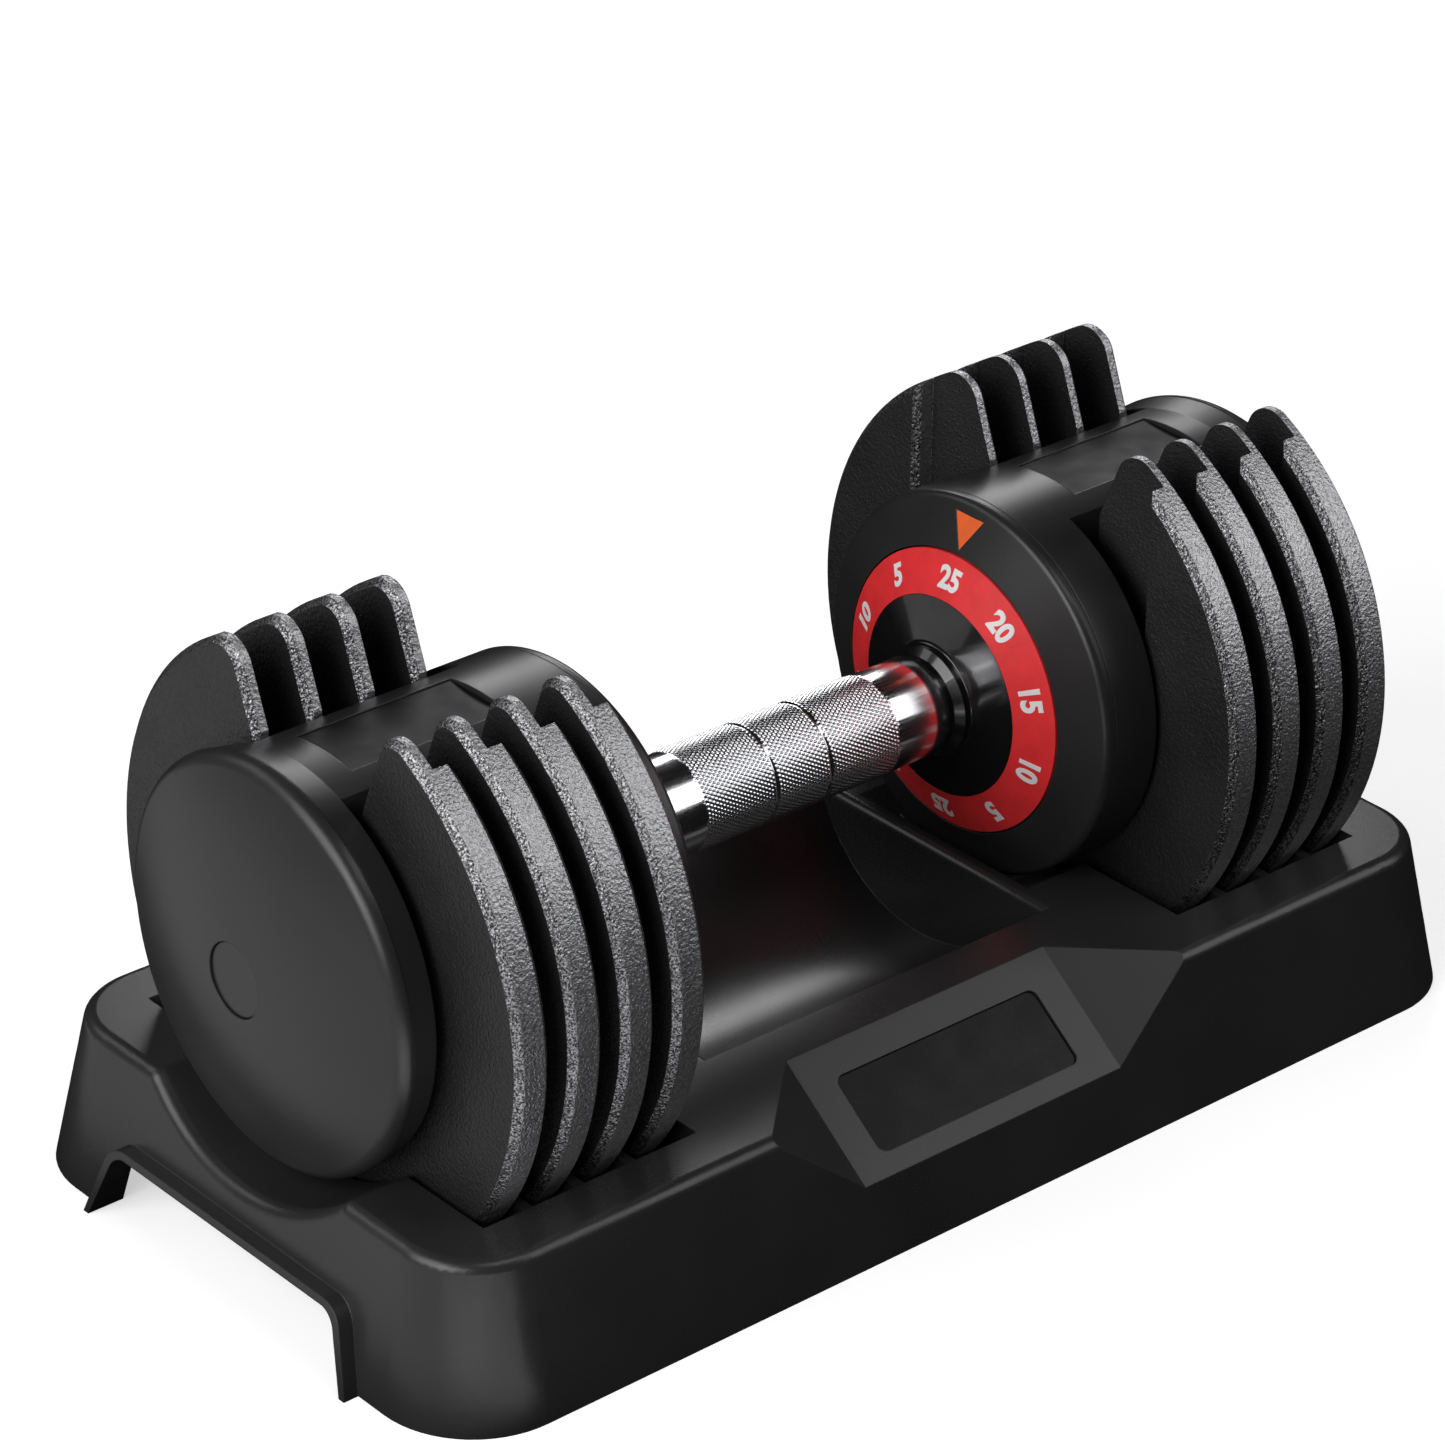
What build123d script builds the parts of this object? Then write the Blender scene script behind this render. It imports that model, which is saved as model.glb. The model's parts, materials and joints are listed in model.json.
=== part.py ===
from build123d import *
import math
import os

# An adjustable dumbbell resting in its tray, in millimetres.
# +X runs along the handle, +Z is up, and the origin is on the floor under the tray's centre.
# Pieces of the dumbbell are drawn about the handle axis, at z = 0, for the right-hand side (+X).
# They are lifted to axis_height, and mirrored for the left-hand side, when they are written.

# ---- fits ----
running = 0.05              # radial clearance where one piece turns in another
seated = 0.1                # clearance between pieces that are fixed together
free = 0.3                  # gap between pieces that only pass or rest
open_gap = 0.6              # gap between the turning dial and the fixed drum
bite = 1.0                  # how far a cut or a joined feature runs past the face that it meets

# ---- grip and shaft ----
grip_radius = 16.0
grip_half_length = 58.5
grip_wall = 3.5
grip_end_chamfer = 0.8
groove_depth = 0.35
groove_place = 10.6         # the two fine grooves in the grip, each side of the middle
knurl_end = 38.0            # the knurl stops here and the polished ends begin
knurl_rise = 0.25
spigot_length = 12.0        # of the hub, inside the grip
shaft_flats = 14.0          # hexagonal shaft, across its flats
shaft_end_radius = 7.0      # turned ends of the shaft
shaft_end_chamfer = 0.8

# ---- drum and dial ----
collar_length = 6.1         # from the grip's end to the face of the hub's collar
collar_round = 0.9
collar_rise = 1.5           # the collar's radius, beyond the grip's
collar_land = 2.2           # straight part of the collar
neck_depth = 1.1            # the neck between grip and collar, under the grip's surface
neck_length = 2.0
flare_step_rise = 1.2       # small step where the collar meets the hub's flare
flare_step_length = 0.5
hub_depth = 15.0            # from the collar's face to the drum's rim
drum_depth = 19.9           # from the drum's rim to its far wall
drum_radius = 61.2
drum_rim_round = 2.6
face_slope = 0.4            # the dial and the drum's face form one shallow cone
wall = 3.0                  # wall of every moulded housing piece
seam_step = 0.4             # the face plate's rim, beyond the wall's thickness
dial_inner_radius = 32.1
dial_outer_radius = 45.2
dial_thickness = 1.2
flange_thickness = 2.5      # of the hub, under the dial
journal_radius = 18.0
journal_reach = 5.4         # from the drum's rim to the end of the hub's journal
journal_overhang = 0.5      # the journal reaches this far past its bearing
pointer_length = 10.0
pointer_half_width = 5.9
pointer_depth = 0.6
pointer_gap = 2.0           # from the dial to the pointer's tip

# ---- plates ----
plates_per_side = 4
plate_radius = 91.2
plate_thickness = 11.4
plate_web = 4.6             # thickness of the plate beside its slot
plate_gap = 7.0
first_gap = 2.4             # from the drum to the first plate
slot_half_width = 24.0
slot_flare_start = 57.4     # above the axis, where the slot begins to open out
slot_flare = 0.39           # sideways for each millimetre up
horn_round = 9.0
channel_half_width = 50.0   # the plate is thin inside this channel, for the selector disc
rim_chamfer = 2.0
lug_inner_radius = 28.5
lug_outer_radius = 34.0
lug_half_angle = 9.0        # degrees
lug_height = 3.3

# ---- selector ----
settings = 10               # marks around the dial: five weights, twice round
selector_web = 2.0
selector_set_back = 1.0     # from the plate's face to the selector's web
tongue_outer_radius = 40.4
tongue_half_angle = 11.0    # degrees past the middle of each setting
selector_hub_radius = 12.0
selector_hole_circle = 22.0
selector_hole_radius = 6.0
selector_holes = 6

# ---- index wheel, lock and spring ----
wheel_gap = 1.0             # from the hub's journal to the wheel
wheel_thickness = 4.5
wheel_radius = 38.0
wheel_window_inner = 15.0
wheel_window_outer = 28.0
wheel_window_span = 66.0    # degrees
wheel_windows = 4
notch_depth = 5.5
notch_half_width = 3.2
lock_gap = 0.5              # from the wheel to the slide
lock_thickness = 2.8
lock_half_width = 14.0
lock_travel = 5.5
lock_top = 46.0
lock_bottom = -20.0
lock_corner = 3.0
tail_half_width = 5.0
tail_recess = 0.2           # the raised tail ends this far inside the drum's surface
window_clearance = 0.8      # from the shaft to the slide's window, above and below
window_side = 2.3           # from the shaft's flats to the window's sides
tooth_half_width = 2.9
tooth_clearance = 0.8       # from the wheel's rim to the raised tooth
guide_thickness = 2.2
guide_low = 16.0            # the slide's guides start this far from the shaft, up and down
guide_length = 17.0
spring_wire = 0.9
spring_radius = 2.5         # to the middle of the wire
spring_turns = 4.5

# ---- bridge, barrel and cap ----
bridge_half_width = 20.5
bridge_skin = 4.0
bridge_depth = 17.0         # side flanges, from the bridge's top down
end_wall_gap = 4.2          # from the last plate to the end wall
end_barrel_length = 8.7
end_barrel_flare = 1.4
end_cap_step = 0.2          # the cap stands this far proud of the barrel
end_cap_side = 3.72         # straight side of the cap, before its rim is rounded
end_cap_round = 5.0
dome_radius = 190.0
spigot_depth = 3.5          # of the cap, inside the barrel
spigot_wall = 2.2
button_radius = 11.3
button_depth = 2.2
button_sink = 1.0           # the button sits this much under the dome
button_chamfer = 0.3
button_ledge = 2.3
label_length = 54.0
label_half_width = 12.6
label_thickness = 0.6
label_sink = 0.4            # the label sits this much under its flat
label_corner = 1.0

# ---- bushes, nut and screws ----
bush_wall = 3.0
bush_set_back = 1.0         # the outer bush ends this far inside the barrel
shoulder_gap = 1.0          # from the shaft's shoulder to the end wall
nut_flats = 19.0
nut_height = 5.0
washer_radius = 12.0
washer_thickness = 1.5
face_screw_circle = 50.0
face_screw_angles = (45, 135, 225, 315)
cap_screw_circle = 47.0
cap_screw_angles = (210, 330, 90)
screw_radius = 1.5
screw_length = 9.0
screw_head_radius = 3.2
screw_head_height = 2.0
screw_boss_radius = 4.2
cross_length = 3.6          # recess in the head of a screw
cross_width = 0.8

# ---- tray ----
pocket_floor = 10.1         # height of the floor under the plates
axis_above_deck = 51.6      # from the deck to the handle axis, with the dumbbell at rest
tray_corner = 32.0
side_land = 17.5            # deck beside the plates
end_land = 22.1             # deck beyond the plates
tray_draft = 9.8            # how far each side leans in, from the floor to the deck
tray_end_draft = 9.6
tray_wall = 3.0
tray_rim_round = 4.0
plate_clearance = 2.8       # round the plates' rims
pocket_inner_slack = 6.9    # from the pocket's end to the first plate
pocket_outer_slack = 2.5    # from the last plate to the pocket's other end
divider_length = 9.0        # how far a divider stands out of the pocket's wall
divider_thickness = 3.4
divider_drop = 2.0          # from the deck to the dividers' tops
cap_clearance = 5.2         # between the end cap and its saddle
drum_clearance = 3.0        # between the drum and its saddle
ridge_gap = 2.26            # from the drum's conical face to the ridge, at the deck
ridge_thickness = 7.0       # at the deck
ridge_round = 3.0
trough_slant = 4.5          # how far the trough's end wall leans, from deck to floor
trough_radius = 59.4
trough_floor = 21.0
rest_pad_angle = 22.0       # degrees from straight down
rest_pad_width = 7.0
rest_pad_inset = 4.0        # from the ridge
post_length = 6.0
post_thickness = 4.0

arch_half_width = 60.0      # at the floor
arch_top_half_width = 51.5
arch_height = 22.5
arch_round = 7.0
lip_reach = 5.0
lip_thickness = 2.4

badge_half_length = 50.6
badge_wing = 32.0           # how much further the side facets reach, at the deck
badge_run = 30.0            # how far the slope reaches into the deck
badge_low_height = 24.5
badge_plate_length = 78.6
badge_plate_height = 25.8
badge_plate_drop = 23.4     # down the slope, from its top edge to the plate's middle
badge_plate_thickness = 1.2
badge_plate_corner = 3.0
badge_recess = 2.0

# ---- places along the handle, and radii, worked out from those sizes ----
collar_face = grip_half_length + collar_length
drum_face = collar_face + hub_depth
drum_back = drum_face + drum_depth
drum_inner_radius = drum_radius - wall
seam = drum_face + wall + seam_step
journal_end = drum_face + journal_reach
bearing_end = journal_end - journal_overhang
neck_radius = grip_radius - neck_depth
collar_radius = grip_radius + collar_rise
pointer_tip_radius = dial_outer_radius + pointer_gap
pointer_base_radius = pointer_tip_radius + pointer_length
wheel_face = journal_end + wheel_gap
lock_face = wheel_face + wheel_thickness + lock_gap
lock_back = lock_face + lock_thickness
tail_end = -drum_radius + tail_recess
first_plate = drum_back + first_gap
plate_pitch = plate_thickness + plate_gap
last_plate = first_plate + (plates_per_side - 1) * plate_pitch + plate_thickness
setting_angle = 360.0 / settings
tongue_inner_radius = lug_outer_radius + open_gap
end_wall = last_plate + end_wall_gap
barrel_end = end_wall + end_barrel_length
end_cap_radius = drum_radius + end_barrel_flare + end_cap_step
dome_top = barrel_end + end_cap_side + dome_radius - math.sqrt(dome_radius**2 - end_cap_radius**2)
outer_bush_radius = shaft_end_radius + running + bush_wall
outer_bush_end = barrel_end - bush_set_back
shaft_shoulder = end_wall - shoulder_gap
washer_face = outer_bush_end + open_gap
nut_face = washer_face + washer_thickness + seated

# ---- places in the tray, worked out from those sizes ----
axis_height = pocket_floor + free + plate_radius
deck_height = axis_height - axis_above_deck
pocket_radius = plate_radius + plate_clearance
pocket_inner = first_plate - pocket_inner_slack
pocket_outer = last_plate + pocket_outer_slack
pocket_half_width = math.sqrt(pocket_radius**2 - axis_above_deck**2)
tray_top_half_width = pocket_half_width + side_land
tray_width = 2 * (tray_top_half_width + tray_draft)
tray_top_half_length = pocket_outer + end_land
tray_length = 2 * (tray_top_half_length + tray_end_draft)
cap_saddle_radius = end_cap_radius + cap_clearance
drum_saddle_radius = drum_radius + drum_clearance
ridge_far_side = drum_face + face_slope * (axis_above_deck - drum_radius) - ridge_gap
ridge_near_side = ridge_far_side - ridge_thickness
badge_top_y = tray_top_half_width - badge_run


def cone(radius):
    """Where the shallow cone of the dial and the drum's face lies, along X, at a radius."""
    return drum_face + face_slope * (radius - drum_radius)


def turned(*corners, rounds=()):
    """A solid turned about the handle axis from (x, radius) corners, some of them rounded."""
    face = make_face(Polyline(*corners, close=True))
    for corner, radius in rounds:
        face = fillet(face.vertices().sort_by_distance(corner)[0], radius)
    return revolve(face, Axis.X)


def tube(x0, x1, outer, inner=0.0):
    """A disc, or a tube where it has an inner radius, between two places along X."""
    return turned((x0, inner), (x1, inner), (x1, outer), (x0, outer))


def slab(outline, x0, x1):
    """A flat piece with a (y, z) outline, between two places along X."""
    return extrude(Plane.YZ.offset(x0) * outline, x1 - x0)


def block(x0, x1, y0, y1, z0, z1):
    """A plain block between two corners."""
    box = Box(x1 - x0, y1 - y0, z1 - z0)
    return Pos((x0 + x1) / 2, (y0 + y1) / 2, (z0 + z1) / 2) * box


def hex_bar(x0, x1, flats):
    """A hexagonal bar with its corners up and down."""
    return slab(RegularPolygon(flats / math.sqrt(3), 6, rotation=30), x0, x1)


def hex_bore(x0, x1):
    return hex_bar(x0 - bite, x1 + bite, shaft_flats + 2 * seated)


def around(circle, angles):
    """(y, z) places on a circle about the handle axis, at angles in degrees."""
    return [(circle * math.cos(math.radians(a)), circle * math.sin(math.radians(a))) for a in angles]


def rod(x0, x1, radius, y, z):
    """A round rod along X, away from the handle axis."""
    return Pos(0, y, z) * tube(x0, x1, radius)


def arc_band(inner, outer, from_angle, to_angle):
    """A (y, z) outline of part of a ring, between two angles in degrees, anticlockwise from +Y."""
    steps = math.ceil((to_angle - from_angle) / 60)
    angles = [from_angle + (to_angle - from_angle) * i / steps for i in range(steps + 1)]
    wedge = make_face(Polyline((0, 0), *around(2 * outer, angles), close=True))
    return (Circle(outer) - Circle(inner)) & wedge


# ---- handle: everything that turns with the hand ----
def grip_tube():
    """Steel tube with a slightly raised knurl between its polished ends, and two fine grooves."""
    body = tube(-grip_half_length, grip_half_length, grip_radius - knurl_rise)
    body = chamfer(body.edges().filter_by(GeomType.CIRCLE), grip_end_chamfer)
    body += tube(-knurl_end, knurl_end, grip_radius)
    for x in (-groove_place, groove_place):
        body -= tube(x - groove_depth, x + groove_depth, grip_radius + bite, grip_radius - 2 * groove_depth)
    return body - tube(-grip_half_length - bite, grip_half_length + bite, grip_radius - grip_wall)


def main_shaft():
    """Hexagonal steel shaft through the whole dumbbell, with turned ends for the bushes and nuts."""
    end = nut_face + nut_height + bite
    shaft = hex_bar(-shaft_shoulder, shaft_shoulder, shaft_flats)
    shaft += tube(-end, end, shaft_end_radius)
    ends = shaft.faces().sort_by(Axis.X)
    return chamfer(ends[0].edges() + ends[-1].edges(), shaft_end_chamfer)


def dial_hub():
    """Glossy flared hub: a spigot in the grip, a collar, a flange under the dial ring, and a journal."""
    back = cone(dial_outer_radius) + flange_thickness
    spigot_end = grip_half_length - spigot_length
    spigot_radius = grip_radius - grip_wall - running
    body = turned(
        (spigot_end, 0),
        (spigot_end, spigot_radius),
        (grip_half_length + seated, spigot_radius),
        (grip_half_length + seated, neck_radius),
        (grip_half_length + neck_length, neck_radius),
        (collar_face - collar_land, collar_radius),
        (collar_face, collar_radius),
        (collar_face + flare_step_length, collar_radius + flare_step_rise),
        (cone(dial_inner_radius), dial_inner_radius),
        (cone(dial_inner_radius) + dial_thickness, dial_inner_radius),
        (cone(dial_outer_radius) + dial_thickness, dial_outer_radius),
        (back, dial_outer_radius),
        (back, journal_radius - running),
        (journal_end, journal_radius - running),
        (journal_end, 0),
        rounds=(((collar_face, collar_radius), collar_round),),
    )
    return body - hex_bore(spigot_end, journal_end)


def dial_ring():
    """Conical dial ring, let into the hub's flange."""
    inner = dial_inner_radius + seated
    return turned(
        (cone(inner), inner),
        (cone(dial_outer_radius), dial_outer_radius),
        (cone(dial_outer_radius) + dial_thickness - seated, dial_outer_radius),
        (cone(inner) + dial_thickness - seated, inner),
    )


def index_wheel():
    """Notched wheel on the shaft, with one notch for each mark on the dial."""
    back = wheel_face + wheel_thickness
    wheel = tube(wheel_face, back, wheel_radius)
    notch = Pos(0, wheel_radius) * Rectangle(2 * notch_half_width, 2 * notch_depth)
    for i in range(settings):
        wheel -= slab(Rot(0, 0, i * setting_angle) * notch, wheel_face, back)
    window = arc_band(wheel_window_inner, wheel_window_outer, -wheel_window_span / 2, wheel_window_span / 2)
    for i in range(wheel_windows):
        wheel -= slab(Rot(0, 0, (i + 0.5) * 360 / wheel_windows) * window, wheel_face, back)
    return wheel - hex_bore(wheel_face, back)


def selector_disc(number):
    """Disc whose two tongues reach under the lug of plate `number`, 1 nearest the hand.

    The tongues are long enough to hold the plate at every setting that uses it, so the
    heaviest setting is at rest, and each turn of the handle by one mark drops one plate.
    """
    plate_face = first_plate + (number - 1) * plate_pitch
    face = plate_face + selector_set_back
    tongue_tip = plate_face + plate_thickness - plate_web - open_gap
    inner_end = lock_back + open_gap if number == 1 else face
    outer_end = shaft_shoulder - seated if number == plates_per_side else face + plate_pitch - seated
    disc = tube(face, face + selector_web, tongue_outer_radius)
    disc += tube(inner_end, outer_end, selector_hub_radius)
    held_turn = (plates_per_side - number) * setting_angle
    tongue = arc_band(
        tongue_inner_radius, tongue_outer_radius, -90 - tongue_half_angle, -90 + tongue_half_angle + held_turn
    )
    for turn in (0, 180):
        disc += slab(Rot(0, 0, turn) * tongue, face, tongue_tip)
    hole_angles = [(i + 0.5) * 360 / selector_holes for i in range(selector_holes)]
    for y, z in around(selector_hole_circle, hole_angles):
        disc -= rod(face - bite, face + selector_web + bite, selector_hole_radius, y, z)
    return disc - hex_bore(inner_end, outer_end)


def end_washer():
    return tube(washer_face, washer_face + washer_thickness, washer_radius, shaft_end_radius + seated)


def end_nut():
    """Hexagonal nut that holds the housing on the shaft; its thread is left plain."""
    nut = hex_bar(nut_face, nut_face + nut_height, nut_flats)
    return nut - tube(nut_face - bite, nut_face + nut_height + bite, shaft_end_radius + running)


# ---- housing: what the hand's turning does not move ----
def face_plate():
    """Drum's face: a shallow cone with a rounded rim, a stepped seat for the dial, and a bearing boss."""
    step = dial_outer_radius + open_gap
    seat = cone(dial_outer_radius) + flange_thickness + open_gap
    bearing_radius = journal_radius + wall + running
    spigot = drum_inner_radius - seated
    body = turned(
        (cone(step), step),
        (drum_face, drum_radius),
        (seam, drum_radius),
        (seam, spigot),
        (seam + wall, spigot),
        (seam + wall, spigot - wall),
        (seat + wall, step),
        (seat + wall, bearing_radius + wall),
        (bearing_end, bearing_radius + wall),
        (bearing_end, bearing_radius),
        (seat, bearing_radius),
        (seat, step),
        rounds=(((drum_face, drum_radius), drum_rim_round),),
    )
    post_end = drum_back - 2 * wall - seated
    for y, z in around(face_screw_circle, face_screw_angles):
        body += rod(seat + wall - bite, post_end, screw_boss_radius, y, z)
        body -= rod(post_end - screw_length, post_end + bite, screw_radius + running, y, z)
    return body - pointer(grow=seated)


def pointer(grow=0.0):
    """Triangular marker let into the drum's face above the dial."""
    tip = pointer_tip_radius
    base = pointer_base_radius
    half = pointer_half_width
    corners = offset(make_face(Polyline((-half, base), (half, base), (0, tip), close=True)), grow)
    prism = slab(corners, drum_face - hub_depth, drum_face + hub_depth)
    skin = turned(
        (cone(tip - bite), tip - bite),
        (cone(base + bite), base + bite),
        (cone(base + bite) + pointer_depth + grow, base + bite),
        (cone(tip - bite) + pointer_depth + grow, tip - bite),
    )
    return prism & skin


def inner_bush():
    """Bearing for the hub's journal, in the face plate's boss."""
    start = cone(dial_outer_radius) + flange_thickness + open_gap
    return tube(start, bearing_end, journal_radius + wall, journal_radius)


def outer_bush():
    """Bearing for the shaft's turned end, in the end wall."""
    return tube(end_wall, outer_bush_end, outer_bush_radius, shaft_end_radius + running)


def label_place():
    """Start and end along X, and height above the axis, of the label's flat on the bridge."""
    middle = (drum_back + end_wall) / 2
    flat = math.sqrt(drum_radius**2 - label_half_width**2)
    return middle - label_length / 2, middle + label_length / 2, flat


def label_panel():
    """Blank panel let into the top of the bridge."""
    start, end, flat = label_place()
    half = label_half_width - seated
    top = flat - label_sink
    panel = block(start + seated, end - seated, -half, half, top - label_thickness, top)
    return fillet(panel.edges().filter_by(Axis.Z), label_corner)


def bridge():
    """Curved bridge over the plates' slots, with side flanges, from the drum to the end wall."""
    top = Pos(0, drum_radius)
    sector = Circle(drum_radius) & top * Rectangle(2 * bridge_half_width, 2 * bridge_depth)
    inner_width = 2 * (bridge_half_width - wall)
    hollow = Circle(drum_radius - bridge_skin) & top * Rectangle(inner_width, 4 * bridge_depth)
    body = slab(sector - hollow, drum_back - wall, end_wall + wall)
    start, end, flat = label_place()
    seat = flat - label_sink - label_thickness - seated
    return body - block(start, end, -label_half_width, label_half_width, seat, drum_radius + bite)


def slide_guides():
    """Two pairs of ribs on the drum's far wall, that keep the lock slide upright."""
    ribs = Part()
    inner = lock_half_width + free
    for side in (-1, 1):
        for end in (-1, 1):
            y0, y1 = sorted((side * inner, side * (inner + guide_thickness)))
            z0, z1 = sorted((end * guide_low, end * (guide_low + guide_length)))
            ribs += block(lock_face, drum_back - bite, y0, y1, z0, z1)
    return ribs


def housing():
    """One moulding: the drum's shell, the bridge over the plates, and the barrel at the end."""
    start = seam + seated
    body = tube(start, drum_back, drum_radius, drum_inner_radius)
    body += tube(drum_back - wall, drum_back, drum_radius, selector_hub_radius + open_gap)
    for y, z in around(face_screw_circle, face_screw_angles):
        body += rod(drum_back - 2 * wall, drum_back - bite, screw_boss_radius, y, z)
    body += slide_guides()
    body += bridge()
    bush_bore = outer_bush_radius + running
    body += turned(
        (end_wall, bush_bore),
        (end_wall, drum_radius),
        (barrel_end, drum_radius + end_barrel_flare),
        (barrel_end, drum_inner_radius),
        (end_wall + wall, drum_inner_radius),
        (end_wall + wall, bush_bore + wall),
        (outer_bush_end, bush_bore + wall),
        (outer_bush_end, bush_bore),
    )
    slot = tail_half_width + free
    body -= block(lock_face - free, lock_back + free, -slot, slot, -drum_radius - bite, -drum_radius / 2)
    shank = screw_radius + 2 * seated
    head = screw_head_radius + 2 * seated
    for y, z in around(face_screw_circle, face_screw_angles):
        body -= rod(start, drum_back + bite, shank, y, z)
        body -= rod(drum_back - screw_head_height - free, drum_back + bite, head, y, z)
    for y, z in around(cap_screw_circle, cap_screw_angles):
        body -= rod(end_wall - bite, end_wall + wall + bite, shank, y, z)
        body -= rod(end_wall - bite, end_wall + wall / 2, head, y, z)
    return body


def domed(x_open, side_radius, apex, sphere, corner_round):
    """Solid with a flat open side, a round side wall and a domed end, turned about the handle axis."""
    centre = apex - sphere
    edge = centre + math.sqrt(sphere**2 - side_radius**2)
    half = side_radius / 2
    middle = centre + math.sqrt(sphere**2 - half**2)
    outline = Polyline((apex, 0), (x_open, 0), (x_open, side_radius), (edge, side_radius))
    face = make_face(outline + ThreePointArc((edge, side_radius), (middle, half), (apex, 0)))
    face = fillet(face.vertices().sort_by_distance((edge, side_radius))[0], corner_round)
    return revolve(face, Axis.X)


def end_cap():
    """Domed cap with a rounded rim, a spigot in the barrel, screw posts and a seat for the button."""
    start = barrel_end + seated
    inside = end_cap_radius - wall
    cap = domed(start, end_cap_radius, dome_top, dome_radius, end_cap_round)
    cap -= domed(start - bite, inside, dome_top - wall, dome_radius - wall, end_cap_round - wall + bite)
    spigot = drum_inner_radius - seated
    cap += turned(
        (start - spigot_depth, spigot - spigot_wall),
        (start - spigot_depth, spigot),
        (start, spigot),
        (start, inside + bite),
        (start + spigot_wall, inside + bite),
        (start + spigot_wall, spigot - spigot_wall),
    )
    post = end_wall + wall + seated
    for y, z in around(cap_screw_circle, cap_screw_angles):
        cap += rod(post, dome_top - 2 * wall - bite, screw_boss_radius, y, z)
        cap -= rod(post - bite, post + screw_length, screw_radius + running, y, z)
    seat = dome_top - button_sink - button_depth
    cap += tube(seat - wall, dome_top - wall, button_radius + wall)
    cap -= tube(seat, dome_top + bite, button_radius + seated)
    return cap - tube(seat - wall - bite, dome_top + bite, button_radius - button_ledge)


def cap_button():
    """Round plug in the middle of the dome, over the nut."""
    top = dome_top - button_sink
    back = top - button_depth + seated
    button = chamfer(tube(back, top, button_radius).edges().sort_by(Axis.X)[-1:], button_chamfer)
    return button + tube(back - wall, back + bite / 2, button_radius - button_ledge - seated)


def screws(under_head, circle, angles, facing):
    """A set of pan-head screws along X. `facing` is the way their heads look along X."""
    group = Part()
    top = under_head + facing * screw_head_height
    head = sorted((under_head, top))
    shank = sorted((under_head - facing * (screw_length - running), under_head))
    recess = sorted((top - facing * bite, top + facing * bite))
    cross = Rectangle(cross_length, cross_width) + Rectangle(cross_width, cross_length)
    for y, z in around(circle, angles):
        screw = rod(*head, screw_head_radius, y, z) + rod(*shank, screw_radius, y, z)
        group += screw - Pos(0, y, z) * slab(cross, *recess)
    return group


def face_screws():
    return screws(drum_back - screw_head_height - 2 * seated, face_screw_circle, face_screw_angles, 1)


def cap_screws():
    return screws(end_wall + wall / 2 - seated, cap_screw_circle, cap_screw_angles, -1)


# ---- lock: a spring-loaded slide that the tray lifts clear of the index wheel ----
def lock_slide():
    """Flat slide round the shaft: a tooth over the wheel and a tail out through the drum's underside."""
    frame = Rectangle(2 * lock_half_width, lock_top - lock_bottom)
    frame = Pos(0, (lock_top + lock_bottom) / 2) * fillet(frame.vertices(), lock_corner)
    tail_top = lock_bottom + lock_corner
    tail = Pos(0, (tail_end + tail_top) / 2) * Rectangle(2 * tail_half_width, tail_top - tail_end)
    window_bottom = -shaft_flats / math.sqrt(3) - window_clearance
    window_top = -window_bottom + lock_travel
    window = Rectangle(shaft_flats + 2 * window_side, window_top - window_bottom)
    window = Pos(0, (window_top + window_bottom) / 2) * fillet(window.vertices(), lock_corner / 2)
    body = slab(frame + tail - window, lock_face, lock_back)
    tooth_low = wheel_radius + tooth_clearance
    return body + block(wheel_face, lock_back, -tooth_half_width, tooth_half_width, tooth_low, lock_top)


def lock_spring():
    """Compression spring between the lock slide and the top of the drum."""
    low = lock_top + spring_wire / 2 + seated
    high = drum_inner_radius - spring_wire / 2 - seated
    path = Helix((high - low) / spring_turns, high - low, spring_radius)
    profile = Plane(path @ 0, z_dir=path % 0) * Circle(spring_wire / 2)
    return Pos((lock_face + lock_back) / 2, 0, low) * sweep(profile, path=path, is_frenet=True)


# ---- plates ----
def plate(number):
    """Weight plate `number`, 1 nearest the hand.

    A disc with a slot open at the top, so that it can stay in the tray when the handle lifts away.
    It is thin beside the slot, full thickness outside the channel, and has a lug for its selector.
    """
    inner = first_plate + (number - 1) * plate_pitch
    web = inner + plate_thickness - plate_web
    outer = inner + plate_thickness
    top = plate_radius + bite
    flared = slot_half_width + slot_flare * (top - slot_flare_start)
    slot = make_face(
        Polyline(
            (-slot_half_width, 0),
            (-slot_half_width, slot_flare_start),
            (-flared, top),
            (flared, top),
            (slot_half_width, slot_flare_start),
            (slot_half_width, 0),
            close=True,
        )
    )
    outline = Circle(plate_radius) - (slot + Circle(slot_half_width))
    outline = fillet(outline.vertices().sort_by(Axis.Y)[-2:], horn_round)
    channel = Pos(0, top / 2) * Rectangle(2 * channel_half_width, top) + Circle(channel_half_width)
    body = slab(outline, web, outer) + slab(Circle(plate_radius) - channel, inner, web)
    body = chamfer(body.faces().sort_by(Axis.X)[0].edges(), rim_chamfer)
    rim = [
        edge
        for edge in body.faces().sort_by(Axis.X)[-1].edges().filter_by(GeomType.CIRCLE)
        if edge.radius > channel_half_width
    ]
    body = chamfer(rim, rim_chamfer)
    lug = arc_band(lug_inner_radius, lug_outer_radius, -90 - lug_half_angle, -90 + lug_half_angle)
    return body + slab(lug, web - lug_height, web + bite)


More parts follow.
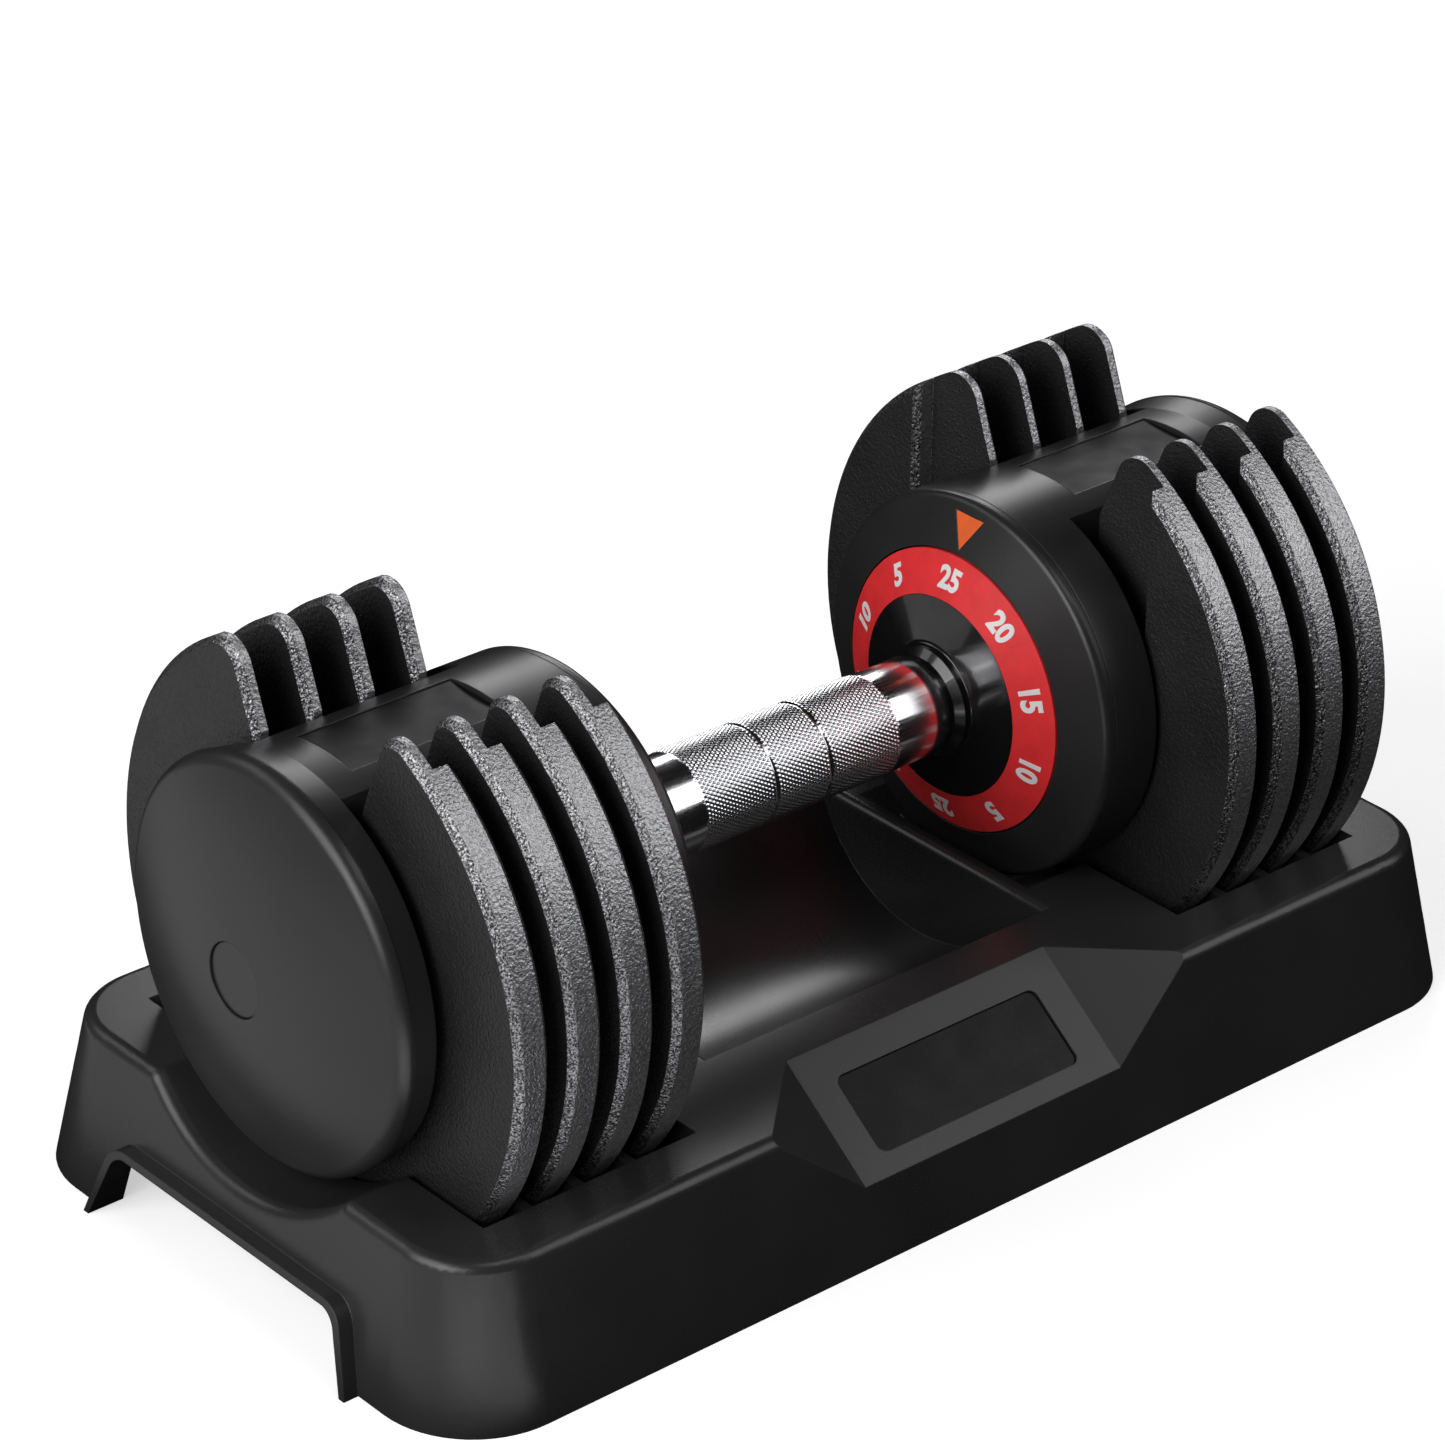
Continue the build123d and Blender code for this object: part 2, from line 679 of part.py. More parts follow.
# ---- tray ----
def tray_block(inset):
    """Solid drafted block of the tray, or the same block drawn in on every side."""
    top = deck_height - inset
    risen = top / deck_height
    low_corner = tray_corner - inset
    low = RectangleRounded(tray_length - 2 * inset, tray_width - 2 * inset, low_corner)
    high = RectangleRounded(
        tray_length - 2 * inset - 2 * tray_end_draft * risen,
        tray_width - 2 * inset - 2 * tray_draft * risen,
        low_corner - (tray_draft - tray_wall) * risen,
    )
    return loft([low, Pos(0, 0, top) * high])


def about_axis(shape):
    return Pos(0, 0, axis_height) * shape


def trough(grow):
    """Hollow under the hand: part of a cylinder, with end walls that lean outward towards the deck."""
    half = ridge_near_side + grow
    low = half - trough_slant
    floor = trough_floor - grow
    above = 2 * deck_height
    side = make_face(
        Polyline(
            (-low, floor), (low, floor), (half, deck_height), (half, above), (-half, above),
            (-half, deck_height), close=True,
        )
    )
    length = extrude(Plane.XZ * side, tray_width / 2, both=True)
    middle = trough_floor + trough_radius
    curve = Pos(0, 0, middle) * tube(-half - bite, half + bite, trough_radius + grow)
    open_top = block(-half, half, -trough_radius, trough_radius, middle, 2 * middle)
    return (curve + open_top) & length


def hollows(grow):
    """Every hollow in the tray's top, at its real size, or drawn larger by a wall's thickness."""
    shape = trough(grow)
    floor = pocket_floor - grow
    for side in (-1, 1):
        pocket = tube(*sorted((side * (pocket_inner - grow), side * (pocket_outer + grow))), pocket_radius + grow)
        drum_end = sorted((side * (ridge_far_side - grow), side * (pocket_inner + bite)))
        cap_end = sorted((side * (pocket_outer - bite), side * (tray_length / 2 + tray_wall)))
        shape += about_axis(pocket) & block(-tray_length, tray_length, -tray_width, tray_width, floor, 2 * axis_height)
        shape += about_axis(tube(*drum_end, drum_saddle_radius + grow))
        shape += about_axis(tube(*cap_end, cap_saddle_radius + grow))
    return shape


def front_at(height):
    """How far in front of the middle the tray's front wall is, at a height."""
    return tray_width / 2 - tray_draft * height / deck_height


def end_at(height):
    """How far from the middle the tray's end walls are, at a height."""
    return tray_length / 2 - tray_end_draft * height / deck_height


def badge_cut(drop):
    """Space above the sloped badge panel and its two side facets, moved down by `drop`."""
    wing = badge_half_length + badge_wing
    corner = Vector(badge_half_length, -badge_top_y, deck_height)
    foot = Vector(badge_half_length, -front_at(badge_low_height), badge_low_height)
    tip = Vector(wing, -tray_top_half_width, deck_height)
    space = block(-tray_length, tray_length, -tray_width, -badge_top_y / 2, 0, 2 * deck_height)
    slope = Vector(1, 0, 0).cross(corner - foot).normalized()
    facet = (tip - corner).cross(foot - corner).normalized()
    facet = facet if facet.Z > 0 else facet * -1
    other = Vector(-facet.X, facet.Y, facet.Z)
    other_corner = Vector(-corner.X, corner.Y, corner.Z)
    for place, normal in ((corner, slope), (corner, facet), (other_corner, other)):
        plane = Plane(origin=place - normal * drop, z_dir=normal)
        space = split(space, bisect_by=plane, keep=Keep.TOP)
    return space


def badge_plane():
    """Plane of the badge panel: its X along the tray, its Z out of the panel, its origin in the middle."""
    top = Vector(0, -badge_top_y, deck_height)
    low = Vector(0, -front_at(badge_low_height), badge_low_height)
    down = (low - top).normalized()
    return Plane(origin=top + down * badge_plate_drop, x_dir=(1, 0, 0), z_dir=Vector(1, 0, 0).cross(-down))


def badge_block(sunk, thickness, grow=0.0):
    """Round-cornered block in the badge panel, from a depth under it."""
    outline = RectangleRounded(
        badge_plate_length + 2 * grow, badge_plate_height + 2 * grow, badge_plate_corner + grow
    )
    return extrude(badge_plane().offset(-sunk) * outline, thickness)


def badge_plate():
    """Blank plate let into the sloped panel."""
    return badge_block(badge_recess, badge_plate_thickness)


def arch_outline(grow):
    """(y, z) outline of the cut-out in each end wall, round-cornered at the top."""
    low = arch_half_width + grow
    high = arch_top_half_width + grow
    top = arch_height + grow
    outline = make_face(
        Polyline((-low, -tray_wall), (low, -tray_wall), (low, 0), (high, top), (-high, top), (-low, 0), close=True)
    )
    return fillet(outline.vertices().sort_by(Axis.Y)[-2:], arch_round + grow)


def arch_lip():
    """Rim round the cut-out in the end wall, standing out a little and leaning as the wall does."""
    outer = tray_length / 2 + lip_reach
    start = end_at(arch_height) - tray_wall
    rim = slab(arch_outline(lip_thickness) - arch_outline(0), start, outer)
    outline = Polyline((start, 0), (outer, 0), (outer - tray_end_draft, deck_height), (start, deck_height), close=True)
    return rim & extrude(Plane.XZ * make_face(outline), tray_width, both=True)


def round_tray(body):
    """Round the rim, with the saddles for the end caps, and then the ridges beside the trough."""
    saddle_low = axis_height - cap_saddle_radius
    rim = [
        edge
        for edge in body.edges()
        if edge.center().Z > min(saddle_low, deck_height) - bite
        and (abs(edge.center().X) > pocket_outer + bite or abs(edge.center().Y) > tray_top_half_width - bite)
    ]
    body = fillet(rim, tray_rim_round)
    ridge = [
        edge
        for edge in body.edges().filter_by(Axis.Y)
        if edge.center().Z > deck_height - bite
        and ridge_near_side - bite < abs(edge.center().X) < ridge_far_side + bite
    ]
    return fillet(ridge, ridge_round)


def tray_details(side):
    """Dividers between the plates, rest pads for the drum, and the post that lifts the lock slide."""
    details = Part()
    for number in range(1, plates_per_side):
        gap = first_plate + number * plate_pitch - plate_gap / 2
        ends = sorted((side * (gap - divider_thickness / 2), side * (gap + divider_thickness / 2)))
        band = about_axis(tube(*ends, pocket_radius + bite, pocket_radius - divider_length))
        top = deck_height - divider_drop
        details += band & block(*ends, -tray_width, tray_width, pocket_floor - tray_wall + bite, top)
    ends = sorted((side * (ridge_far_side + rest_pad_inset), side * (pocket_inner - bite)))
    pad = tube(*ends, drum_saddle_radius + bite, drum_radius + free)
    reach = block(*ends, -rest_pad_width / 2, rest_pad_width / 2, -2 * drum_radius, 0)
    for angle in (-rest_pad_angle, rest_pad_angle):
        details += about_axis(pad & Rot(angle, 0, 0) * reach)
    middle = side * (lock_face + lock_back) / 2
    half = post_thickness / 2
    foot = axis_height - drum_saddle_radius - bite
    post_top = axis_height + tail_end - free
    return details + block(middle - half, middle + half, -post_length / 2, post_length / 2, foot, post_top)


def base_tray():
    """Moulded shell, open underneath, with hollows for the plates, drums, end caps and hand."""
    shell = round_tray(tray_block(0) - hollows(0)) - badge_cut(0)
    inside = tray_block(tray_wall) - hollows(tray_wall) - badge_cut(tray_wall)
    inside -= badge_block(badge_recess + tray_wall, 2 * badge_recess + tray_wall, tray_wall)
    shell -= inside
    shell -= badge_block(badge_recess, 2 * badge_recess, seated)
    opening = slab(arch_outline(0), end_at(arch_height) - 2 * tray_wall, tray_length)
    lip = arch_lip()
    for turn in (0, 180):
        shell = shell - Rot(0, 0, turn) * opening + Rot(0, 0, turn) * lip
    return shell + tray_details(-1) + tray_details(1)


# ---- writing ----
def write(name, shape):
    export_step(shape, f"parts/{name}.step")


def write_pair(name, shape):
    """Write the right-hand piece, and its mirror image for the left-hand side."""
    write(f"{name}_right", about_axis(shape))
    write(f"{name}_left", mirror(about_axis(shape), about=Plane.YZ))


os.makedirs("parts", exist_ok=True)
write("base_tray", base_tray())
write("badge_plate", badge_plate())
write("grip_tube", about_axis(grip_tube()))
write("main_shaft", about_axis(main_shaft()))
for name, make in (
    ("dial_hub", dial_hub),
    ("dial_ring", dial_ring),
    ("index_wheel", index_wheel),
    ("end_washer", end_washer),
    ("end_nut", end_nut),
    ("housing", housing),
    ("face_plate", face_plate),
    ("pointer", pointer),
    ("inner_bush", inner_bush),
    ("outer_bush", outer_bush),
    ("label_panel", label_panel),
    ("end_cap", end_cap),
    ("cap_button", cap_button),
    ("face_screws", face_screws),
    ("cap_screws", cap_screws),
    ("lock_slide", lock_slide),
    ("lock_spring", lock_spring),
):
    write_pair(name, make())
for number in range(1, plates_per_side + 1):
    write_pair(f"selector_disc_{number}", selector_disc(number))
    write_pair(f"plate_{number}", plate(number))
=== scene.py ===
import json
import math

import bmesh
import bpy
import numpy as np
from mathutils import Matrix, Vector

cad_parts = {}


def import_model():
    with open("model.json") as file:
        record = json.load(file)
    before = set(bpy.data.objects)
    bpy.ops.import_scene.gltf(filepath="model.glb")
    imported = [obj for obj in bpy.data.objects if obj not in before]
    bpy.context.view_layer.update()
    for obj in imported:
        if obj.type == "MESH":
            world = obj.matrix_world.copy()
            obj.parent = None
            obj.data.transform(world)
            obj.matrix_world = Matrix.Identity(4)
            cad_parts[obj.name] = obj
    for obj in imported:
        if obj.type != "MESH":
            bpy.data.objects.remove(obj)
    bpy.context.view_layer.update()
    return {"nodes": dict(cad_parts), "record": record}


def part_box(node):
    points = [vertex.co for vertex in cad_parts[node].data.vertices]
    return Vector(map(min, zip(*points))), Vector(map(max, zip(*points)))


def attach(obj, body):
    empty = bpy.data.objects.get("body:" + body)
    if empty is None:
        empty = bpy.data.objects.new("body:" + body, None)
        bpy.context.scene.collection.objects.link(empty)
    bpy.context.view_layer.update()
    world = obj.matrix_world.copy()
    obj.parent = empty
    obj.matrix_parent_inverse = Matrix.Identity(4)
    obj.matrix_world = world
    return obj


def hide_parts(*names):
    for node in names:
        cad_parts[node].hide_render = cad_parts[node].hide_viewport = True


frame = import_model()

# Looks for an adjustable dumbbell in its tray. Lengths are in metres.
# +X runs along the handle, +Z is up, and -Y is the side of the tray with the badge panel.

nodes = frame["nodes"]
SIDES = (("right", 1), ("left", -1))


# ---- helpers for node materials ----
class Material:
    """A Principled material, built up from layers of noise in the object's own coordinates."""

    def __init__(self, name, roughness, metallic=0.0, coat=0.0, coat_roughness=0.1, specular=0.5):
        self.material = bpy.data.materials.new(name)
        self.material.use_nodes = True
        self.tree = self.material.node_tree
        self.shader = self.tree.nodes["Principled BSDF"]
        self.place = self.add("ShaderNodeTexCoord").outputs["Object"]
        self.set("Roughness", roughness)
        self.set("Metallic", metallic)
        self.set("Coat Weight", coat)
        self.set("Coat Roughness", coat_roughness)
        self.set("Specular IOR Level", specular)

    def set(self, socket, value):
        self.shader.inputs[socket].default_value = value

    def add(self, kind, inputs=(), **settings):
        """Add a node. Inputs are (socket, value) pairs, where a value is a number, a colour or a socket."""
        node = self.tree.nodes.new(kind)
        for key, value in settings.items():
            setattr(node, key, value)
        for key, value in inputs:
            if isinstance(value, bpy.types.NodeSocket):
                self.tree.links.new(value, node.inputs[key])
            else:
                node.inputs[key].default_value = value
        return node

    def link(self, output, socket):
        self.tree.links.new(output, self.shader.inputs[socket])

    def noise(self, size, detail=3.0, rough=0.55, stretch=None):
        """Noise with features about `size` metres across, from 0 to 1."""
        place = self.place
        if stretch:
            place = self.add("ShaderNodeMapping", (("Vector", place), ("Scale", stretch))).outputs[0]
        inputs = (("Vector", place), ("Scale", 1 / size), ("Detail", detail), ("Roughness", rough))
        return self.add("ShaderNodeTexNoise", inputs).outputs["Fac"]

    def cells(self, size, smooth):
        """Smoothed distance to the nearest cell centre, for pebbles about `size` metres across."""
        inputs = (("Vector", self.place), ("Scale", 1 / size), ("Smoothness", smooth))
        return self.add("ShaderNodeTexVoronoi", inputs, feature="SMOOTH_F1").outputs["Distance"]

    def spread(self, value, low, high, from_low=0.3, from_high=0.7):
        """Map a 0 to 1 value onto a range."""
        inputs = (("Value", value), (1, from_low), (2, from_high), (3, low), (4, high))
        return self.add("ShaderNodeMapRange", inputs).outputs[0]

    def combine(self, first, second, kind="ADD"):
        """Arithmetic on two values, addition unless `kind` names another operation."""
        return self.add("ShaderNodeMath", ((0, first), (1, second)), operation=kind).outputs[0]

    def colours(self, value, *stops):
        """Colour ramp from (position, colour) stops."""
        node = self.add("ShaderNodeValToRGB", (("Fac", value),))
        ramp = node.color_ramp
        while len(ramp.elements) < len(stops):
            ramp.elements.new(0.5)
        for element, (position, colour) in zip(ramp.elements, stops):
            element.position = position
            element.color = (*colour, 1.0)
        return node.outputs["Color"]

    def mix(self, amount, first, second):
        """Colour between `first` at 0 and `second` at 1."""
        node = self.add("ShaderNodeMix", (("Factor", amount),), data_type="RGBA")
        for socket, value in ((node.inputs[6], first), (node.inputs[7], second)):
            if isinstance(value, bpy.types.NodeSocket):
                self.tree.links.new(value, socket)
            else:
                socket.default_value = (*value, 1.0)
        return node.outputs[2]

    def bump(self, height, depth, under):
        """Bump from a 0 to 1 height, `depth` metres deep, over another normal."""
        inputs = (("Height", height), ("Distance", depth), ("Strength", 1.0), ("Normal", under))
        return self.add("ShaderNodeBump", inputs).outputs[0]

    def edge(self, radius):
        """Normal that rounds every sharp edge by a radius."""
        return self.add("ShaderNodeBevel", (("Radius", radius),), samples=4).outputs[0]

    def worn(self, radius):
        """1 along sharp edges and 0 on open faces."""
        rounded = self.edge(radius)
        plain = self.add("ShaderNodeNewGeometry").outputs["Normal"]
        dot = self.add("ShaderNodeVectorMath", ((0, rounded), (1, plain)), operation="DOT_PRODUCT")
        return self.spread(dot.outputs["Value"], 1.0, 0.0, 0.75, 1.0)


blue_cast = 0.04             # how much more blue than red the greys hold


def grey(level):
    return (level, level, level * (1 + blue_cast))


def moulded_plastic(name, level, roughness):
    """Satin moulded plastic: fine grain, faint flow marks, and edges rubbed a little lighter."""
    grain = 0.00045
    depth = 0.00002
    edge = 0.0006
    m = Material(name, roughness)
    flow = m.noise(0.05, 2.0)
    fine = m.noise(grain, 2.0, 0.6)
    base = m.colours(flow, (0.3, grey(level * 0.88)), (0.7, grey(level * 1.12)))
    rubbed = m.combine(m.worn(edge * 1.5), m.spread(m.noise(0.004), 0.0, 0.5), "MULTIPLY")
    m.link(m.mix(rubbed, base, grey(level * 1.5 + 0.012)), "Base Color")
    m.link(m.spread(m.combine(flow, fine), roughness - 0.04, roughness + 0.05, 0.7, 1.3), "Roughness")
    m.link(m.bump(fine, depth, m.edge(edge)), "Normal")
    return m.material


def pebbled_iron(name):
    """Coated iron: leathery pebbles and dark flat faces. The rims and chamfers get a lighter, metallic
    colour, which is a painted highlight for the light falling on them.
    """
    pebble_size = 0.0012
    wrinkle_size = 0.0008
    speckle_size = 0.0006
    relief_depth = 0.00035
    edge = 0.0005
    m = Material(name, 0.42)
    pebbles = m.cells(pebble_size, 0.45)
    wrinkles = m.noise(wrinkle_size, 2.0, 0.6)
    relief = m.combine(m.combine(pebbles, 0.5, "MULTIPLY"), wrinkles)
    tone = m.noise(0.03, 2.0)
    face = m.colours(tone, (0.3, grey(0.014)), (0.7, grey(0.022)))
    # painted highlight: rims are coloured far lighter than the faces, and chamfers get light speckles,
    # standing in for light falling on them
    rim_painted_highlight = m.colours(wrinkles, (0.35, grey(0.42)), (0.65, grey(0.62)))
    chamfer_painted_highlight = m.colours(m.noise(speckle_size, 2.0), (0.42, grey(0.05)), (0.62, grey(0.42)))
    # 0 on the rim, about 0.7 on its chamfers, and 1 on the flat faces
    normal = m.add("ShaderNodeNewGeometry").outputs["True Normal"]
    along = m.add("ShaderNodeSeparateXYZ", ((0, normal),)).outputs["X"]
    slant = m.add("ShaderNodeMath", ((0, along),), operation="ABSOLUTE").outputs[0]
    sloped = m.spread(slant, 0.0, 1.0, 0.35, 0.60)
    open_face = m.spread(slant, 0.0, 1.0, 0.80, 0.95)
    m.link(m.mix(open_face, m.mix(sloped, rim_painted_highlight, chamfer_painted_highlight), face), "Base Color")
    # the metallic rims and chamfers belong to the same painted highlight, not to a sheen the coat has
    m.link(m.spread(open_face, 0.92, 0.0, 0.0, 1.0), "Metallic")
    m.link(m.spread(wrinkles, 0.32, 0.44), "Roughness")
    m.link(m.bump(relief, relief_depth, m.edge(edge)), "Normal")
    return m.material


def glossy_plastic(name, level, coat=0.6, roughness=0.22, specular=0.5):
    """Gloss black plastic with a faint unevenness and very light dust."""
    m = Material(name, roughness, coat=coat, coat_roughness=0.06, specular=specular)
    wave = m.noise(0.012, 2.0)
    dust = m.spread(m.noise(0.0006, 2.0), 0.0, 0.25, 0.62, 0.75)
    base = m.colours(wave, (0.3, grey(level * 0.9)), (0.7, grey(level * 1.1)))
    m.link(m.mix(dust, base, grey(level + 0.05)), "Base Color")
    m.link(m.spread(wave, roughness - 0.04, roughness + 0.06), "Roughness")
    m.link(m.bump(wave, 0.00001, m.edge(0.0004)), "Normal")
    return m.material


def painted(name, colour, roughness):
    """Printed or painted colour with a slight orange peel and small tone changes."""
    m = Material(name, roughness, coat=0.15, coat_roughness=0.25)
    tone = m.noise(0.008, 3.0)
    darker = tuple(c * 0.9 for c in colour)
    lighter = tuple(min(1.0, c * 1.08) for c in colour)
    m.link(m.colours(tone, (0.3, darker), (0.7, lighter)), "Base Color")
    peel = m.noise(0.0012, 2.0)
    m.link(m.spread(peel, roughness - 0.05, roughness + 0.06), "Roughness")
    m.link(m.bump(peel, 0.00001, m.edge(0.0002)), "Normal")
    return m.material


def polished_metal(name, level, roughness, brushed=(1, 1, 1)):
    """Plated or turned metal with fine lines, a little haze, and faint scratches."""
    m = Material(name, roughness, metallic=1.0)
    lines = m.noise(0.0005, 3.0, 0.6, stretch=brushed)
    haze = m.noise(0.015, 2.0)
    m.link(m.colours(haze, (0.3, grey(level * 0.94)), (0.7, grey(level))), "Base Color")
    m.link(m.spread(m.combine(lines, haze), roughness - 0.05, roughness + 0.06, 0.7, 1.3), "Roughness")
    m.link(m.bump(lines, 0.000004, m.edge(0.0003)), "Normal")
    return m.material


materials = {
    "tray_plastic": moulded_plastic("tray_plastic", 0.025, 0.30),
    "housing_plastic": moulded_plastic("housing_plastic", 0.022, 0.33),
    "selector_plastic": moulded_plastic("selector_plastic", 0.010, 0.5),
    "badge_gloss": glossy_plastic("badge_gloss", 0.005, 0.0, 0.25, 0.15),
    "label_film": glossy_plastic("label_film", 0.006, 0.0, 0.45, 0.15),
    "hub_gloss": glossy_plastic("hub_gloss", 0.006, 0.7, 0.2),
    "dial_red": painted("dial_red", (0.92, 0.035, 0.040), 0.42),
    "dial_marks": painted("dial_marks", (0.97, 0.97, 0.97), 0.5),
    "pointer_orange": painted("pointer_orange", (0.92, 0.14, 0.02), 0.45),
    "grip_chrome": polished_metal("grip_chrome", 0.88, 0.17, (0.05, 1, 1)),
    "shaft_steel": polished_metal("shaft_steel", 0.50, 0.32, (1, 0.1, 0.1)),
    "spring_steel": polished_metal("spring_steel", 0.48, 0.28),
    "bush_bronze": polished_metal("bush_bronze", 0.42, 0.35),
    "plate_iron": pebbled_iron("plate_iron"),
}


def dress(piece, slot_name):
    piece.data.materials.clear()
    piece.data.materials.append(materials[slot_name])


for part in frame["record"]["subparts"]:
    dress(nodes[part["node"]], part["material_slot"])


# ---- the knurled grip ----
def new_piece(name, vertices, faces, slot_name, body, smooth=True):
    mesh = bpy.data.meshes.new(name)
    mesh.from_pydata(vertices, [], faces)
    mesh.update()
    piece = bpy.data.objects.new(name, mesh)
    bpy.context.scene.collection.objects.link(piece)
    mesh.polygons.foreach_set("use_smooth", [smooth] * len(mesh.polygons))
    dress(piece, slot_name)
    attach(piece, body)
    return piece


knurl_count = 72             # diamonds round the grip
knurl_pitch = 0.0023         # along the grip
knurl_depth = 0.00045
knurl_steps = 6              # mesh steps for each diamond, both ways
knurl_end = 0.038            # half the knurled length
knurl_edge = 0.0008          # the knurl fades in over this length
knurl_steepness = 1.25       # above 1 it leaves each diamond a small flat top
first_plain_ring = 0.0006    # past the knurl's end
plain_rings = (0.045, 0.052)  # mesh rings along a polished end
groove_place = 0.0106        # from the middle of the grip
groove_half_width = 0.00045
groove_floor = 0.7           # of its width that is at full depth
groove_depth = 0.0004        # below the polished ends
polish_drop = 0.00025        # the polished ends lie this much under the knurl's peaks
grip_bore = 0.0125
grip_chamfer = 0.0008


def triangle_wave(value):
    """0 at whole numbers, rising to 1 halfway between them."""
    return np.abs(2 * (value - np.floor(value + 0.5)))


def knurled_grip():
    """Grip with real diamond knurling in three sections, between two polished ends."""
    low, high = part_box("grip_tube")
    half, radius, height = high.x, high.y, (low.z + high.z) / 2
    fine = knurl_pitch / knurl_steps
    inner = np.arange(-knurl_end, knurl_end + fine / 2, fine)
    outer = np.array((knurl_end + first_plain_ring, *plain_rings, half - grip_chamfer))
    x = np.concatenate((-outer[::-1], inner, outer))
    around = knurl_count * knurl_steps
    angle = np.arange(around) * 2 * math.pi / around
    turn = np.arange(around) / knurl_steps
    grid_x, grid_turn = np.meshgrid(x, turn, indexing="ij")
    ridge = np.minimum(
        1 - triangle_wave(grid_turn + grid_x / knurl_pitch),
        1 - triangle_wave(grid_turn - grid_x / knurl_pitch),
    )
    from_groove = np.abs(np.abs(grid_x) - groove_place)
    edges = np.minimum(knurl_end - np.abs(grid_x), from_groove - groove_half_width)
    fade = np.clip(edges / knurl_edge, 0, 1)
    polished = radius - polish_drop
    cut = radius - knurl_depth * (1 - np.minimum(1, knurl_steepness * ridge))
    r = polished + (cut - polished) * fade
    r = np.where(from_groove < groove_half_width * groove_floor, polished - groove_depth, r)
    mouth = polished - grip_chamfer
    end_rings = ((half, mouth), (half, grip_bore), (-half, grip_bore), (-half, mouth))
    ring_x = np.concatenate((x, [place for place, _ in end_rings]))
    ring_r = np.concatenate((r, np.array([[size] * around for _, size in end_rings])))
    points = (
        np.repeat(ring_x[:, None], around, 1),
        ring_r * np.cos(angle),
        height + ring_r * np.sin(angle),
    )
    vertices = np.stack(points, axis=-1).reshape(-1, 3)
    rings = len(ring_x)
    i, j = np.meshgrid(np.arange(rings), np.arange(around), indexing="ij")
    next_i, next_j = (i + 1) % rings, (j + 1) % around
    corners = (i * around + j, i * around + next_j, next_i * around + next_j, next_i * around + j)
    quads = np.stack(corners, axis=-1).reshape(-1, 4)
    piece = new_piece("grip_knurled", vertices.tolist(), quads.tolist(), "grip_chrome", "handle")
    for polygon in piece.data.polygons:
        if abs(polygon.center.x) > half - grip_chamfer * 1.01:
            polygon.use_smooth = False
    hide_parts("grip_tube")


knurled_grip()


# ---- the dials' numbers ----
numerals = ("25", "20", "15", "10", "5")
numeral_height = 0.0069
numeral_boldness = 0.042     # outward offset of a digit that is 1 high
numeral_thickness = 0.02     # of a digit that is 1 high, each way; only its sign is used on the cone
numeral_proud = 0.00012      # above the cone, and as far into it
numeral_step = 180 / len(numerals)   # degrees, since the numbers go twice round
dial_slope = 0.4             # of the dial's cone, along X for each metre outward
dial_inner_radius = 0.0322
dial_middle_radius = 0.0387  # through the middle of the numbers


def digit_mesh(text):
    """Flat bold digits, centred, with a height of 1."""
    curve = bpy.data.curves.new("digits", "FONT")
    curve.body = text
    curve.align_x = "CENTER"
    curve.offset = numeral_boldness
    curve.resolution_u = 6
    curve.extrude = numeral_thickness
    holder = bpy.data.objects.new("digits", curve)
    bpy.context.scene.collection.objects.link(holder)
    depsgraph = bpy.context.evaluated_depsgraph_get()
    mesh = bpy.data.meshes.new_from_object(holder.evaluated_get(depsgraph))
    bpy.data.objects.remove(holder)
    bm = bmesh.new()
    bm.from_mesh(mesh)
    bmesh.ops.remove_doubles(bm, verts=bm.verts, dist=1e-5)
    low = min(v.co.y for v in bm.verts)
    tall = max(v.co.y for v in bm.verts) - low
    middle = (max(v.co.x for v in bm.verts) + min(v.co.x for v in bm.verts)) / 2
    points = [((v.co.x - middle) / tall, (v.co.y - low) / tall - 0.5, v.co.z) for v in bm.verts]
    bm.verts.index_update()
    faces = [[v.index for v in f.verts] for f in bm.faces]
    bm.free()
    return points, faces


def dial_numbers(side, sign):
    """Ten numbers round the dial, laid on its cone, reading outward for someone at the handle."""
    low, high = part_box(f"dial_ring_{side}")
    face = low.x if sign > 0 else high.x
    height = (low.z + high.z) / 2
    vertices, faces = [], []
    for place in range(2 * len(numerals)):
        points, digit_faces = digit_mesh(numerals[place % len(numerals)])
        start = len(vertices)
        for u, v, w in points:
            r = dial_middle_radius + v * numeral_height
            a = math.radians(numeral_step * place) + sign * u * numeral_height / dial_middle_radius
            lift = numeral_proud if w > 0 else -numeral_proud
            x = face + sign * (dial_slope * (r - dial_inner_radius) - lift)
            vertices.append((x, -r * math.sin(a), height + r * math.cos(a)))
        faces += [[start + k for k in (f if sign > 0 else f[::-1])] for f in digit_faces]
    new_piece(f"dial_numbers_{side}", vertices, faces, "dial_marks", "handle", smooth=False)


for side, sign in SIDES:
    dial_numbers(side, sign)


# ---- camera ----
camera_azimuth = math.radians(-40.98)
camera_elevation = math.radians(28.18)
camera_roll = math.radians(0.72)
camera_distance = 1.6476     # from the origin, along the view
camera_right = -0.01298      # from the origin, sideways in the picture
camera_up = 0.10176          # from the origin, upwards in the picture
camera_lens = 134.85         # mm
camera_sensor = 36.0         # mm

back = Vector((
    math.sin(camera_azimuth) * math.cos(camera_elevation),
    -math.cos(camera_azimuth) * math.cos(camera_elevation),
    math.sin(camera_elevation),
))
level_right = (-back).cross(Vector((0, 0, 1))).normalized()
level_up = level_right.cross(-back)
right = level_right * math.cos(camera_roll) + level_up * math.sin(camera_roll)
up = level_up * math.cos(camera_roll) - level_right * math.sin(camera_roll)
camera = bpy.data.objects.new("camera", bpy.data.cameras.new("camera"))
camera.data.lens = camera_lens
camera.data.sensor_width = camera_sensor
turn = Matrix((right, up, back)).transposed().to_4x4()
place = back * camera_distance + right * camera_right + up * camera_up
camera.matrix_world = Matrix.Translation(place) @ turn
bpy.context.scene.collection.objects.link(camera)
bpy.context.scene.camera = camera


